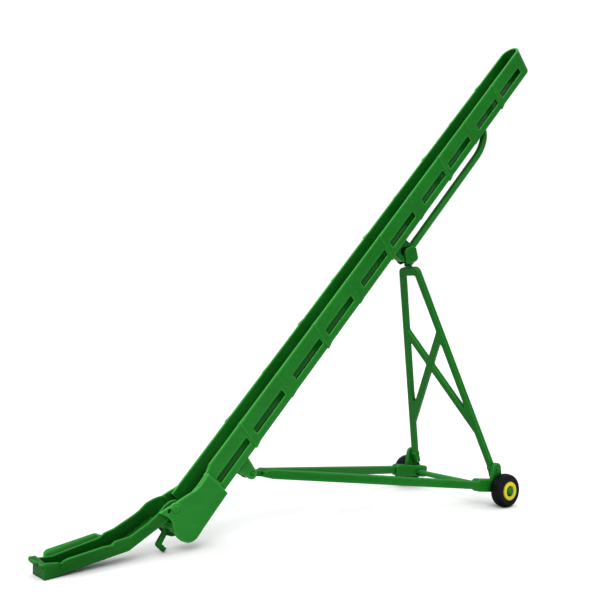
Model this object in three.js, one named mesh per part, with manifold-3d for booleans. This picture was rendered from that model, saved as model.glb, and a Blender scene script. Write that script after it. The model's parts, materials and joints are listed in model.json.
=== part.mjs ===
// A small moulded-plastic model of a portable farm grain elevator: an open trough raised on a
// folding undercarriage, with a hinged hopper at its foot.
// Millimetres, +Z up, +X from the hopper towards the raised head, Y across. The ground is Z = 0.
import * as THREE from 'three';
import { ConvexGeometry } from 'three/addons/geometries/ConvexGeometry.js';
import { mergeVertices } from 'three/addons/utils/BufferGeometryUtils.js';
import Module from 'manifold-3d';

const wasm = await Module();
wasm.setup();

// Driving dimensions

const gap = 0.15;                 // air between pieces of one body that meet
const roundSegments = 32;         // sides on a pin, hole or rounded end
const originX = 52.375;           // moves the middle of the object to X = 0

// The trough has its own axes: "along" runs up the trough, "depth" runs down from its open top.
const troughTilt = THREE.MathUtils.degToRad(45.515);
const troughFoot = { x: 6.55, z: 16.93 };
const troughLength = 182;
const troughWidth = 6.8;
const troughWall = 0.75;
const troughFloor = 1.1;
const troughDepth = 8.45;
const troughWallStart = -4.6;     // the side walls end inside the cheeks
const bootEnd = -11;              // the floor runs on between the cheeks
const headSlant = 0.8;            // the head end leans back by this much from top to bottom

const slotPairs = 5;
const slotPitch = 35.3;
const slotStart = 4.57;
const slotLength = 13.36;
const slotSpacing = 16.48;        // from one slot to the other of its pair
const slotTop = 4.2;
const slotHeight = 1.9;
const collarWidth = 2;
const collarProud = 0.35;
const seamProud = 0.18;

const cheekThickness = 0.75;
const pivotX = 0.24;              // the hopper's pivot
const pivotZ = 11.47;
const pivotRadius = 1.15;
const runningGap = 0.1;           // radial clearance of every turning pin

const hopperHalfWidth = 3.35;
const hopperWall = 0.75;
const hopperFloor = 0.8;
const hopperTip = -33.4;
const wingReach = 5.5;            // half width across the tops of the wing boards

const baseHinge = { x: 25.1, z: 16.8 };
const axle = { x: 105.14, z: 5 };
const axleDrop = 0.3;             // the axle lies this far below the base frame's middle line
const baseTilt = Math.atan2(baseHinge.z - axle.z - axleDrop, axle.x - baseHinge.x);
const hingePinRadius = 0.6;
const tongueHalf = 0.85;          // half width of the tongue between the lug's ears
const lugOuter = 1.9;
const railHeightFront = 2.6;
const railHeightRear = 2.4;
const railWidth = 1.9;
const blockStart = 71;
const blockEnd = 85.1;
const blockHeight = 3.7;
const blockInner = 15.7;
const blockOuter = 18.5;
const axleRadius = 0.85;
const axleCapRadius = 1.25;

const legHinge = { x: 104.2, z: 11.3 };
const lugInner = 17.4;            // the leg lugs stand outside the legs
const lugFar = 18.6;
const collarAlong = 96.5;         // where the leg frame meets the lifting rail, along the trough
const railDepth = 13.5;           // depth of the lifting rail's axis
const railRadius = 1.15;
const railLowerEnd = 99.4;        // the rail starts at the catch block
const catchHalf = 1.45;
const railUpperEnd = 150.5;
const railBendStart = 141.5;
const legWidth = 2;
const legThickness = 1.6;
const braceWidth = 2.1;
const braceThickness = 1.4;

const wheelTrack = 41.5;
const tyreRadius = 5;
const tyreWidth = 3.7;
const rimRadius = 2.8;

// Materials

const plastic = (name, color, roughness) =>
  new THREE.MeshStandardMaterial({ name, color, roughness, metalness: 0 });
const greenPlastic = plastic('green_plastic', 0x1f7a2a, 0.42);
const blackPlastic = plastic('black_plastic', 0x14141a, 0.55);
const yellowPlastic = plastic('yellow_plastic', 0xd8cf22, 0.4);

// Solids

function solid(geometry) {
  const closed = geometry.clone();
  closed.deleteAttribute('normal');
  closed.deleteAttribute('uv');
  const merged = mergeVertices(closed, 1e-4);
  return new wasm.Manifold(new wasm.Mesh({
    numProp: 3,
    vertProperties: merged.attributes.position.array,
    triVerts: new Uint32Array(merged.index.array),
  }));
}

function geometryOf(manifold) {
  const mesh = manifold.getMesh();
  const geometry = new THREE.BufferGeometry();
  geometry.setAttribute('position', new THREE.BufferAttribute(mesh.vertProperties, 3));
  geometry.setIndex(new THREE.BufferAttribute(mesh.triVerts, 1));
  const faceted = geometry.toNonIndexed();
  faceted.computeVertexNormals();
  return faceted;
}

// Joins the first list of geometries and cuts the second list from the result.
function carve(joined, cuts = []) {
  let body = solid(joined[0]);
  for (const extra of joined.slice(1)) {
    body = body.add(solid(extra));
  }
  for (const tool of cuts) {
    body = body.subtract(solid(tool));
  }
  return geometryOf(body);
}

function box(x, y, z) {
  const block = new THREE.BoxGeometry(x[1] - x[0], y[1] - y[0], z[1] - z[0]);
  return block.translate((x[0] + x[1]) / 2, (y[0] + y[1]) / 2, (z[0] + z[1]) / 2);
}

// A flat piece with a side outline in X and Z, from yMin to yMax.
function sidePlate(outline, yMin, yMax) {
  const shape = outline instanceof THREE.Shape ? outline : polygon(outline);
  const settings = { depth: yMax - yMin, bevelEnabled: false, curveSegments: 12 };
  return new THREE.ExtrudeGeometry(shape, settings).rotateX(Math.PI / 2).translate(0, yMax, 0);
}

function polygon(points) {
  return new THREE.Shape(points.map(([a, b]) => new THREE.Vector2(a, b)));
}

// A straight round pin across the object.
function crossPin(radius, yMin, yMax, x = 0, z = 0, segments = roundSegments) {
  const pin = new THREE.CylinderGeometry(radius, radius, yMax - yMin, segments);
  return pin.translate(x, (yMin + yMax) / 2, z);
}

// A straight bar in the leg frame's plane, from one point (y, z) to another.
function frameBar(from, to, width, thickness) {
  const [y0, z0] = from;
  const [y1, z1] = to;
  const length = Math.hypot(y1 - y0, z1 - z0);
  const bar = new THREE.BoxGeometry(thickness, width, length);
  bar.rotateX(-Math.atan2(y1 - y0, z1 - z0));
  return bar.translate(0, (y0 + y1) / 2, (z0 + z1) / 2);
}

function hull(points) {
  return new ConvexGeometry(points.map((point) => new THREE.Vector3(...point)));
}

function mirrored(points) {
  return points.map(([x, y, z]) => [x, -y, z]);
}

// Assembly

const elevator = new THREE.Group();
elevator.position.x = -originX;

function add(group, name, geometry, material = greenPlastic) {
  const mesh = new THREE.Mesh(geometry, material);
  mesh.name = name;
  group.add(mesh);
}

const sides = [
  { name: 'left', sign: 1 },
  { name: 'right', sign: -1 },
];

// A range across the object on one side, from the distances to the middle plane.
function across(sign, inner, outer) {
  return sign > 0 ? [inner, outer] : [-outer, -inner];
}

// Trough. In this group X is "along" and Z is minus "depth".

const trough = new THREE.Group();
trough.position.set(troughFoot.x, 0, troughFoot.z);
trough.rotation.y = -troughTilt;
elevator.add(trough);

// A world point (x, z) as [along, -depth] in the trough group.
function inTrough(x, z) {
  const dx = x - troughFoot.x;
  const dz = z - troughFoot.z;
  const cos = Math.cos(troughTilt);
  const sin = Math.sin(troughTilt);
  return [dx * cos + dz * sin, dz * cos - dx * sin];
}

// A block as wide as 2 * half with a half-round end at the head, from start, between two heights.
function headedBlock(half, start, bottom, top) {
  const shape = new THREE.Shape();
  const centre = troughLength - troughWidth / 2;
  shape.moveTo(start, -half);
  shape.lineTo(centre, -half);
  shape.absarc(centre, 0, half, -Math.PI / 2, Math.PI / 2, false);
  shape.lineTo(start, half);
  const settings = { depth: top - bottom, bevelEnabled: false, curveSegments: 12 };
  const block = new THREE.ExtrudeGeometry(shape, settings).translate(0, 0, bottom);
  const leanBack = new THREE.Matrix4().makeShear(0, 0, 0, 0, headSlant / troughDepth, 0);
  return block.applyMatrix4(leanBack);
}

function troughChannel() {
  const half = troughWidth / 2;
  const inner = half - troughWall;
  const bootFloor = box(
    [bootEnd, troughWallStart + 1],
    [-half + 0.1, half - 0.1],
    [-troughDepth, -troughDepth + troughFloor],
  );
  const joined = [headedBlock(half, troughWallStart, -troughDepth, 0), bootFloor];
  const cuts = [headedBlock(inner, troughWallStart - 2, -troughDepth + troughFloor, 1)];
  const collarAt = (along, proud) => box(
    [along - collarWidth / 2, along + collarWidth / 2],
    [-half - proud, half + proud],
    [-troughDepth - proud, proud / 2],
  );
  for (let pair = 0; pair < slotPairs; pair += 1) {
    const start = slotStart + pair * slotPitch;
    joined.push(collarAt(start + (slotSpacing + slotLength) / 2 + 0.4, collarProud));
    if (pair < slotPairs - 1) {
      joined.push(collarAt(start + (slotPitch + slotSpacing + slotLength) / 2, seamProud));
    }
    for (const slot of [start, start + slotSpacing]) {
      cuts.push(box(
        [slot, slot + slotLength],
        [-half - 1, half + 1],
        [-slotTop - slotHeight, -slotTop],
      ));
    }
  }
  return carve(joined, cuts);
}

// The side plates of the boot: the hopper's arms swing between them.
function cheekOutline() {
  const shape = polygon([
    [3.9, -0.9], [0.1, -1.1], [-1.4, -0.8], [-4.4, 0.6], [-7, 1.6], [-9.9, 2.9], [-11.9, 3.7],
    [-11.1, 1.2], [-11.1, -0.8], [-12.9, -3.3], [-13.1, -5.2], [-12.9, -6.6], [-12.2, -8.2],
    [-11.3, -9], [-10, -9.5], [-6.1, -9.3], [3.9, -9.05],
  ]);
  const [x, z] = inTrough(pivotX, pivotZ);
  const hole = new THREE.Path().absarc(x, z, pivotRadius + runningGap, 0, 2 * Math.PI, true);
  shape.holes.push(hole);
  return shape;
}

function cheek(sign) {
  const inner = troughWidth / 2 + gap;
  const [x, z] = inTrough(pivotX - 1.85, pivotZ - 0.2);
  const relief = crossPin(0.5, -6, 6, x, z, 16);
  return carve([sidePlate(cheekOutline(), ...across(sign, inner, inner + cheekThickness))], [relief]);
}

function hitch() {
  const halfWidth = 0.6;
  return sidePlate([
    [-12.75, -2.4], [-17.3, -3.3], [-17.3, -6.4], [-16, -6.4], [-16, -4.5], [-12.75, -3.8],
  ], -halfWidth, halfWidth);
}

// Two ears under the trough hold the base frame's hinge pin.
function frontLug(sign) {
  const [x, z] = inTrough(baseHinge.x, baseHinge.z);
  const radius = 1.5;
  const top = -troughDepth - gap;
  const outline = new THREE.Shape();
  outline.moveTo(x - 2.4, top);
  outline.lineTo(x - radius, z);
  outline.absarc(x, z, radius, Math.PI, 2 * Math.PI, false);
  outline.lineTo(x + 2.2, top);
  const plate = sidePlate(outline, ...across(sign, tongueHalf + gap, lugOuter));
  return carve([plate], [crossPin(hingePinRadius + 0.05, -4, 4, x, z, 20)]);
}

// The lifting rail: a round rod beside the trough that bends up into its underside.
class RailAxis extends THREE.Curve {
  getPoint(t, target = new THREE.Vector3()) {
    const bendRadius = railUpperEnd - railBendStart;
    const straight = railBendStart - railLowerEnd;
    const rise = railDepth - troughDepth - 0.3;
    const total = straight + bendRadius + rise;
    const distance = t * total;
    if (distance < straight) {
      return target.set(railLowerEnd + distance, 0, -railDepth);
    }
    const turn = ((distance - straight) / (total - straight)) * (Math.PI / 2);
    return target.set(
      railBendStart + bendRadius * Math.sin(turn),
      0,
      -railDepth + rise * (1 - Math.cos(turn)),
    );
  }
}

function liftingRail() {
  const section = new THREE.Shape().absarc(0, 0, railRadius, 0, 2 * Math.PI, false);
  const settings = { steps: 44, extrudePath: new RailAxis(), curveSegments: 8, bevelEnabled: false };
  return new THREE.ExtrudeGeometry(section, settings);
}

// The block that holds the rail's lower end, with the hole that catches the leg frame.
function railCatch() {
  const top = -troughDepth - 0.4;
  const outline = polygon([
    [collarAlong - 4.6, top], [collarAlong - 3.6, -12.9], [collarAlong - 2.4, -14.6],
    [collarAlong + 1.4, -14.6], [collarAlong + 2.7, -12], [collarAlong + 1.8, top],
  ]);
  const hole = new THREE.Path().absellipse(collarAlong - 1, -11.3, 1.4, 1.1, 0, 2 * Math.PI, true);
  outline.holes.push(hole);
  return sidePlate(outline, -catchHalf, catchHalf);
}

function buildTrough() {
  add(trough, 'trough_channel', troughChannel());
  for (const { name, sign } of sides) {
    add(trough, `${name}_cheek`, cheek(sign));
    add(trough, `${name}_hinge_lug`, frontLug(sign));
  }
  add(trough, 'rail_catch', railCatch());
  add(trough, 'cheek_cross_bar', box([-12.6, -10.9], [-3.4, 3.4], [-4.2, -2.3]));
  add(trough, 'tow_hitch', hitch());
  const [hingeX, hingeZ] = inTrough(baseHinge.x, baseHinge.z);
  const hingePin = crossPin(hingePinRadius, -lugOuter - gap, lugOuter + gap, hingeX, hingeZ, 20);
  add(trough, 'base_hinge_pin', hingePin);
  add(trough, 'lifting_rail', liftingRail());
}

// Hopper, with its pivot at the group's origin.

const hopper = new THREE.Group();
hopper.position.set(pivotX, 0, pivotZ);
elevator.add(hopper);

const tipX = hopperTip - pivotX;
const tipZ = -pivotZ;

function hopperSide(sign) {
  const armRadius = 2.1;
  const outline = new THREE.Shape();
  outline.moveTo(tipX, tipZ);
  outline.lineTo(-12.3, -8.4);
  outline.lineTo(-4.7, -4.4);
  outline.lineTo(-2.1, -3.1);
  outline.absarc(0, 0, armRadius, -1.9, Math.PI / 2, false);
  outline.lineTo(-2, 1.3);
  outline.lineTo(-4.2, -1.15);
  outline.lineTo(-7.3, -3.05);
  outline.lineTo(-12.2, -5.65);
  outline.lineTo(-15.2, -5.8);
  outline.lineTo(-16.6, -7.3);
  outline.lineTo(-29.9, -9.3);
  outline.lineTo(-30.5, -8.5);
  outline.lineTo(tipX, -8.5);
  return sidePlate(outline, ...across(sign, hopperHalfWidth - hopperWall, hopperHalfWidth));
}

function hopperTray() {
  const inner = hopperHalfWidth - hopperWall + 0.05;
  const floor = sidePlate([
    [tipX, tipZ], [-12.3, -8.4], [-4.7, -4.4], [-3, -3.5],
    [-3.3, -3.5 + hopperFloor], [-5, -4.5 + hopperFloor * 1.2],
    [-12.5, -8.4 + hopperFloor], [tipX, tipZ + hopperFloor],
  ], -inner, inner);
  return carve([hopperSide(1), hopperSide(-1), floor]);
}

// A wing board leans outwards from the top of the tray's side.
function wingBoard(sign) {
  const thickness = 0.7;
  const root = hopperHalfWidth - 0.35;
  const corners = [
    [-29.7, root, -9.05], [-16.9, root, -7.1],
    [-29.3, wingReach - thickness, -7.45], [-17.2, wingReach - thickness, -5.65],
    [-29.7, root + thickness, -9.2], [-16.9, root + thickness, -7.25],
    [-29.3, wingReach, -7.6], [-17.2, wingReach, -5.8],
  ];
  return hull(sign > 0 ? corners : mirrored(corners));
}

// The upright tip with a lip that overhangs forwards.
function tipPlate() {
  const inner = hopperHalfWidth - hopperWall - gap;
  const lipTop = -8;
  const lipBottom = lipTop - 0.8;
  const wall = box([tipX, tipX + 0.8], [-inner, inner], [tipZ + hopperFloor + gap, lipTop]);
  const lip = box([tipX - 1.4, tipX - gap], [-inner - 0.3, inner + 0.3], [lipBottom, lipTop]);
  const lipRoot = box([tipX - 0.3, tipX + 0.4], [-inner, inner], [lipBottom, lipTop]);
  const ears = box([tipX - 1.4, tipX - 0.5], [-inner - 0.3, inner + 0.3], [lipBottom, lipTop + 0.2]);
  const bite = box([tipX - 2, tipX - 0.3], [-1.4, 1.4], [lipBottom - 1, lipTop + 1]);
  return carve([wall, lip, lipRoot, ears], [bite]);
}

function buildHopper() {
  add(hopper, 'hopper_tray', hopperTray());
  add(hopper, 'hopper_tip_plate', tipPlate());
  for (const { name, sign } of sides) {
    add(hopper, `${name}_wing_board`, wingBoard(sign));
    const [inner, outer] = across(sign, hopperHalfWidth + gap, troughWidth / 2 + cheekThickness + 0.25);
    add(hopper, `${name}_hopper_pin`, crossPin(pivotRadius, inner, outer));
  }
}

// Base frame, with its hinge at the group's origin and X along the frame to the axle.

const base = new THREE.Group();
base.position.set(baseHinge.x, 0, baseHinge.z);
base.rotation.y = baseTilt;
elevator.add(base);

// A world point (x, z) in the base frame's axes.
function inBase(x, z) {
  const dx = x - baseHinge.x;
  const dz = z - baseHinge.z;
  const cos = Math.cos(baseTilt);
  const sin = Math.sin(baseTilt);
  return [dx * cos - dz * sin, dx * sin + dz * cos];
}

const tongueEnd = 6.6;

function tongue() {
  const half = railHeightFront / 2;
  const eye = crossPin(1.3, -tongueHalf, tongueHalf, 0, 0);
  const neck = box([0, 5], [-tongueHalf, tongueHalf], [-0.8, 0.8]);
  const head = sidePlate([
    [4.2, -0.8], [tongueEnd, -half], [tongueEnd, half], [4.9, half], [4.2, 0.8],
  ], -2.3, 2.3);
  return carve([eye, neck, head], [crossPin(hingePinRadius + runningGap, -4, 4, 0, 0, 20)]);
}

function baseRail(sign) {
  const ends = [
    { x: tongueEnd + gap, inner: 0.4, half: railHeightFront / 2 },
    { x: blockStart - gap, inner: blockOuter - 0.2 - railWidth, half: railHeightRear / 2 },
  ];
  const corners = [];
  for (const { x, inner, half } of ends) {
    corners.push([x, inner, -half], [x, inner + railWidth, -half]);
    corners.push([x, inner, half], [x, inner + railWidth, half]);
  }
  return hull(sign > 0 ? corners : mirrored(corners));
}

function wheelBlock(sign) {
  const half = blockHeight / 2;
  const outline = polygon([
    [blockStart, -half + 0.6], [blockStart + 1, -half], [blockEnd - 0.6, -half], [blockEnd, -half + 0.6],
    [blockEnd, half - 0.4], [blockEnd - 0.4, half], [blockStart + 0.8, half], [blockStart, half - 0.5],
  ]);
  const bore = crossPin(axleRadius + 0.05, -30, 30, ...inBase(axle.x, axle.z));
  return carve([sidePlate(outline, ...across(sign, blockInner, blockOuter))], [bore]);
}

// The upright ear on a wheel block that carries a leg.
function legLug(sign) {
  const [x, z] = inBase(legHinge.x, legHinge.z);
  const radius = 1.75;
  const outline = new THREE.Shape();
  outline.moveTo(x - 2.1, blockHeight / 2 + gap);
  outline.lineTo(x + 2.9, blockHeight / 2 + gap);
  outline.lineTo(x + radius, z);
  outline.absarc(x, z, radius, 0, Math.PI, false);
  const hole = crossPin(hingePinRadius + 0.05, -30, 30, x, z, 20);
  return carve([sidePlate(outline, ...across(sign, lugInner, lugFar))], [hole]);
}

function buildBase() {
  const [pinX, pinZ] = inBase(legHinge.x, legHinge.z);
  const [axleX, axleZ] = inBase(axle.x, axle.z);
  const tyreInner = (wheelTrack - tyreWidth) / 2;
  const capInner = tyreInner + tyreWidth - 0.55;
  add(base, 'base_tongue', tongue());
  add(base, 'axle_rod', crossPin(axleRadius, -capInner + gap, capInner - gap, axleX, axleZ));
  for (const { name, sign } of sides) {
    add(base, `${name}_base_rail`, baseRail(sign));
    add(base, `${name}_wheel_block`, wheelBlock(sign));
    add(base, `${name}_leg_lug`, legLug(sign));
    const pinSpan = across(sign, 14.9, lugFar + 0.1);
    add(base, `${name}_leg_pin`, crossPin(hingePinRadius, ...pinSpan, pinX, pinZ, 20));
    const capSpan = across(sign, capInner, capInner + 0.7);
    add(base, `${name}_axle_cap`, crossPin(axleCapRadius, ...capSpan, axleX, axleZ));
  }
}

// Leg frame, with its hinge at the group's origin and Z up the legs to the rail.

const railPoint = {
  x: troughFoot.x + collarAlong * Math.cos(troughTilt) + railDepth * Math.sin(troughTilt),
  z: troughFoot.z + collarAlong * Math.sin(troughTilt) - railDepth * Math.cos(troughTilt),
};
const legLean = Math.atan2(railPoint.x - legHinge.x, railPoint.z - legHinge.z);
const legReach = Math.hypot(railPoint.x - legHinge.x, railPoint.z - legHinge.z);

const legFrame = new THREE.Group();
legFrame.position.set(legHinge.x, 0, legHinge.z);
legFrame.rotation.y = legLean;
elevator.add(legFrame);

const legFootY = 16.2;
const legFootReach = 3;             // the legs run on below their pins by this much
const crossbarZ = 62.7;
const crossbarHeight = 2.6;
const legTopY = 3.05;
const legTopZ = crossbarZ - crossbarHeight / 2 - gap;

function legYAt(z) {
  return legFootY + (legTopY - legFootY) * (z / crossbarZ);
}

function leg(sign) {
  const eyeRadius = 1.05;
  const top = [sign * legYAt(legTopZ), legTopZ];
  const shank = frameBar([sign * legYAt(0), 0], top, legWidth, legThickness);
  const half = legWidth / 2;
  const foot = box(
    [-legThickness / 2, legThickness / 2],
    across(sign, legFootY - half, legFootY + half),
    [-legFootReach, 0.2],
  );
  const eye = crossPin(eyeRadius, ...across(sign, legFootY - legWidth / 2, legFootY + legWidth / 2));
  const bore = crossPin(hingePinRadius + runningGap, -30, 30, 0, 0, 20);
  const trim = box([-5, 5], [-30, 30], [legTopZ - 0.02, legTopZ + 5]);
  return carve([shank, foot, eye], [bore, trim]);
}

// A brace leaves one leg high up and meets the other one low down.
const braceHigh = 42;
const braceLow = 14.4;

function braceLine(sign) {
  const inset = legWidth / 2 + 0.2;
  const high = [sign * (legYAt(braceHigh) - inset), braceHigh];
  const low = [-sign * (legYAt(braceLow) - inset), braceLow];
  return { high, low };
}

function braceCutters() {
  const cutters = [];
  for (const { sign } of sides) {
    const foot = [sign * legYAt(0), 0];
    const top = [sign * legYAt(legTopZ), legTopZ];
    cutters.push(frameBar(foot, top, legWidth + 2 * gap, legThickness + 2));
  }
  return cutters;
}

function fullBrace() {
  const { high, low } = braceLine(1);
  return carve([frameBar(high, low, braceWidth, braceThickness)], braceCutters());
}

function halfBrace(end) {
  const { high, low } = braceLine(-1);
  const other = braceLine(1);
  const share = high[0] / (high[0] - low[0]);
  const middle = [0, high[1] + (low[1] - high[1]) * share];
  const from = end === 'upper' ? high : low;
  const clear = frameBar(other.high, other.low, braceWidth + 2 * gap, braceThickness + 2);
  return carve([frameBar(from, middle, braceWidth, braceThickness)], [clear, ...braceCutters()]);
}

// The neck and the open fork that straddles the lifting rail.
function railFork() {
  const neckTop = crossbarZ + crossbarHeight / 2 + gap;
  const forkHalf = 2.35;
  const slotHalf = catchHalf + 0.2;
  const neck = box([-0.65, 0.65], [-0.7, 0.7], [neckTop, legReach - 3]);
  const plate = sidePlate([
    [-0.9, legReach - 3.7], [1.2, legReach - 3.7], [2.3, legReach - 2.2], [2.2, legReach - 0.4],
    [0.8, legReach + 2.2], [-1.2, legReach + 2.2], [-1.7, legReach + 1], [-1.3, legReach - 1.4],
  ], -forkHalf, forkHalf);
  const railWay = sidePlate([
    [-4, legReach - 6.2], [-0.9, legReach - 3.4], [0.9, legReach - 2.05], [4, legReach + 1.5],
    [4, legReach + 5], [-4, legReach + 5],
  ], -slotHalf, slotHalf);
  const lobeCutters = [1, -1].map((sign) => hull([-4, 4].flatMap((x) => [
    [x, sign * 0.7, legReach - 3.75], [x, sign * 0.7, legReach - 5],
    [x, sign * 2.4, legReach - 2.5], [x, sign * 2.4, legReach - 5],
  ])));
  return carve([neck, carve([plate], lobeCutters)], [railWay]);
}

function buildLegFrame() {
  const halfBar = legTopY + legWidth / 2;
  const crossbar = box(
    [-legThickness / 2, legThickness / 2],
    [-halfBar, halfBar],
    [crossbarZ - crossbarHeight / 2, crossbarZ + crossbarHeight / 2],
  );
  add(legFrame, 'leg_crossbar', crossbar);
  add(legFrame, 'rail_fork', railFork());
  add(legFrame, 'cross_brace', fullBrace());
  add(legFrame, 'upper_half_brace', halfBrace('upper'));
  add(legFrame, 'lower_half_brace', halfBrace('lower'));
  for (const { name, sign } of sides) {
    add(legFrame, `${name}_leg`, leg(sign));
  }
}

// Wheels

function wheelRing(profile) {
  const points = profile.map(([radius, y]) => new THREE.Vector2(radius, y));
  return new THREE.LatheGeometry([...points, points[0]], roundSegments);
}

function buildWheel(name, sign) {
  const wheel = new THREE.Group();
  wheel.position.set(axle.x, sign * wheelTrack / 2, axle.z);
  wheel.rotation.z = sign > 0 ? 0 : Math.PI;
  const half = tyreWidth / 2;
  const bead = rimRadius + gap;
  const tyre = wheelRing([
    [bead, -half], [tyreRadius - 0.6, -half], [tyreRadius, -half + 0.6],
    [tyreRadius, half - 0.6], [tyreRadius - 0.6, half], [bead, half],
  ]);
  const bore = axleRadius + runningGap;
  const faceDepth = half - 0.8;
  const rim = wheelRing([
    [bore, -half + 0.3], [rimRadius, -half + 0.3], [rimRadius, half - 0.1],
    [axleCapRadius + 0.25, half - 0.1], [axleCapRadius + 0.25, faceDepth], [bore, faceDepth],
  ]);
  add(wheel, `${name}_tyre`, tyre, blackPlastic);
  add(wheel, `${name}_rim`, rim, yellowPlastic);
  elevator.add(wheel);
}

buildTrough();
buildHopper();
buildBase();
buildLegFrame();
for (const { name, sign } of sides) {
  buildWheel(name, sign);
}

export default elevator;
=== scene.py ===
import json
from math import atan2, cos, hypot, pi, radians, sin, sqrt, tan

import bmesh
import bpy
from mathutils import Matrix, Vector
from mathutils.geometry import tessellate_polygon


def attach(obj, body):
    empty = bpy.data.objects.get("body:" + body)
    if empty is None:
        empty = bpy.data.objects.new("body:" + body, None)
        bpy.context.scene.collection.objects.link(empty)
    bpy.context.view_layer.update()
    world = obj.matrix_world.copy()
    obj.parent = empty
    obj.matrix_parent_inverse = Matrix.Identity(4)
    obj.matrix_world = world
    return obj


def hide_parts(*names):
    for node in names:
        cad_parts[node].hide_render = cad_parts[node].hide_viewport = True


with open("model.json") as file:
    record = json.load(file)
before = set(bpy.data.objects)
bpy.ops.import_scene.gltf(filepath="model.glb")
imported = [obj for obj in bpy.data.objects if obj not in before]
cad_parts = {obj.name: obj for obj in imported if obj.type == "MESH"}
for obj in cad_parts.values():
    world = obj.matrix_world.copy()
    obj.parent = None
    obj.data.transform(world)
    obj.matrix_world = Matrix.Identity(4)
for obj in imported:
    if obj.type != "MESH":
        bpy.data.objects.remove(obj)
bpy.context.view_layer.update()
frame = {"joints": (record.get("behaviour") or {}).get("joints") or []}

MM = 0.001

joint_at = {joint["name"]: Vector(joint["pos_m"]) / MM for joint in frame["joints"]}
SIDES = (("left", 1), ("right", -1))


# ---------------------------------------------------------------- outlines

CORNER_SHARE = 0.47    # how much of a side's length one rounded corner may take up
LEAST_BEND = 0.03      # radians: a corner that bends less stays as it is
LEAST_REACH = 0.004    # millimetres: so does a corner whose rounding would be smaller


def rounded(corners, radius, steps=5):
    """A closed outline whose corners are rounded. A corner may carry its own radius as a third number."""
    points = []
    count = len(corners)
    for index, corner in enumerate(corners):
        here = Vector(corner[:2])
        to_last = Vector(corners[index - 1][:2]) - here
        to_next = Vector(corners[(index + 1) % count][:2]) - here
        bend = pi - to_last.angle(to_next)
        wanted = corner[2] if len(corner) > 2 else radius
        reach = min(wanted * tan(bend / 2), CORNER_SHARE * to_last.length, CORNER_SHARE * to_next.length)
        if bend < LEAST_BEND or reach < LEAST_REACH:
            points.append(here)
            continue
        start = here + to_last.normalized() * reach
        end = here + to_next.normalized() * reach
        for step in range(steps + 1):
            s = step / steps
            points.append(start * (1 - s) ** 2 + here * (2 * s * (1 - s)) + end * s ** 2)
    return points


def ring(radius, centre=(0, 0), steps=40, stretch=1.0):
    return [
        Vector((centre[0] + radius * stretch * cos(2 * pi * k / steps),
                centre[1] + radius * sin(2 * pi * k / steps)))
        for k in range(steps)
    ]


def signed_area(points):
    return sum(a.x * b.y - b.x * a.y for a, b in zip(points, points[1:] + points[:1])) / 2


def turned(points, anticlockwise):
    """The outline, running the way that is asked for."""
    return points if (signed_area(points) > 0) == anticlockwise else points[::-1]


def inset(points, distance):
    """The outline moved to its left by a distance, with its corners kept."""
    moved = []
    for before, here, after in zip(points[-1:] + points[:-1], points, points[1:] + points[:1]):
        first = (here - before).normalized()
        second = (after - here).normalized()
        n1 = Vector((-first.y, first.x))
        n2 = Vector((-second.y, second.x))
        moved.append(here + (n1 + n2) * (distance / max(0.25, 1 + n1.dot(n2))))
    return moved


# ---------------------------------------------------------------- temporary solids, in millimetres

def temporary(vertices, faces):
    mesh = bpy.data.meshes.new("solid")
    mesh.from_pydata([tuple(v) for v in vertices], [], faces)
    work = bmesh.new()
    work.from_mesh(mesh)
    bmesh.ops.remove_doubles(work, verts=work.verts, dist=1e-5)
    bmesh.ops.recalc_face_normals(work, faces=work.faces)
    work.to_mesh(mesh)
    work.free()
    solid = bpy.data.objects.new("solid", mesh)
    bpy.context.scene.collection.objects.link(solid)
    return solid


AXES = {
    "xz": lambda a, b, c: (a, c, b),
    "yz": lambda a, b, c: (c, a, b),
    "xy": lambda a, b, c: (a, b, c),
}


def plate(outline, low, high, axes="xz", bevel=0.12, holes=(), segments=3):
    """A flat piece: an outline in two axes, from low to high along the third, with rounded edges."""
    loops = [turned(list(outline), True)] + [turned(list(hole), False) for hole in holes]
    levels = []
    for step in range(segments + 1):
        angle = step / segments * pi / 2
        levels.append((bevel * (1 - sin(angle)), low + bevel * (1 - cos(angle))))
    levels += [(in_by, low + high - at) for in_by, at in reversed(levels)]
    put = AXES[axes]
    vertices, faces, rows = [], [], []
    for in_by, at in levels:
        row = []
        for loop in loops:
            first = len(vertices)
            vertices += [put(p.x, p.y, at) for p in inset(loop, in_by)]
            row.append((first, len(loop)))
        rows.append(row)
    for lower, upper in zip(rows, rows[1:]):
        for (a, count), (b, _) in zip(lower, upper):
            for k in range(count):
                n = (k + 1) % count
                faces.append((a + k, a + n, b + n, b + k))
    flat = [[Vector((p.x, p.y, 0)) for p in inset(loop, bevel)] for loop in loops]
    for triangle in tessellate_polygon(flat):
        faces.append(tuple(triangle))
        faces.append(tuple(rows[-1][0][0] + k for k in reversed(triangle)))
    return temporary(vertices, faces)


def loft(loops):
    """A solid through loops of equally many points, with its two ends closed by flat faces."""
    count = len(loops[0])
    vertices = [p for loop in loops for p in loop]
    faces = []
    for row in range(len(loops) - 1):
        a, b = row * count, (row + 1) * count
        faces += [(a + k, a + (k + 1) % count, b + (k + 1) % count, b + k) for k in range(count)]
    last = (len(loops) - 1) * count
    faces += [tuple(range(count)), tuple(range(last, last + count))]
    return temporary(vertices, faces)


def lathe(profile, y_sign=1, steps=64, closed=False):
    """A solid of revolution about Y: profile points are (radius, y)."""
    vertices, faces = [], []
    for radius, y in profile:
        for k in range(steps):
            angle = 2 * pi * k / steps
            vertices.append((radius * cos(angle), y_sign * y, radius * sin(angle)))
    rows = len(profile)
    for row in range(rows if closed else rows - 1):
        a, b = row * steps, ((row + 1) % rows) * steps
        faces += [(a + k, a + (k + 1) % steps, b + (k + 1) % steps, b + k) for k in range(steps)]
    if not closed:
        faces += [tuple(range(steps)), tuple(range((rows - 1) * steps, rows * steps))]
    return temporary(vertices, faces)


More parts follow.
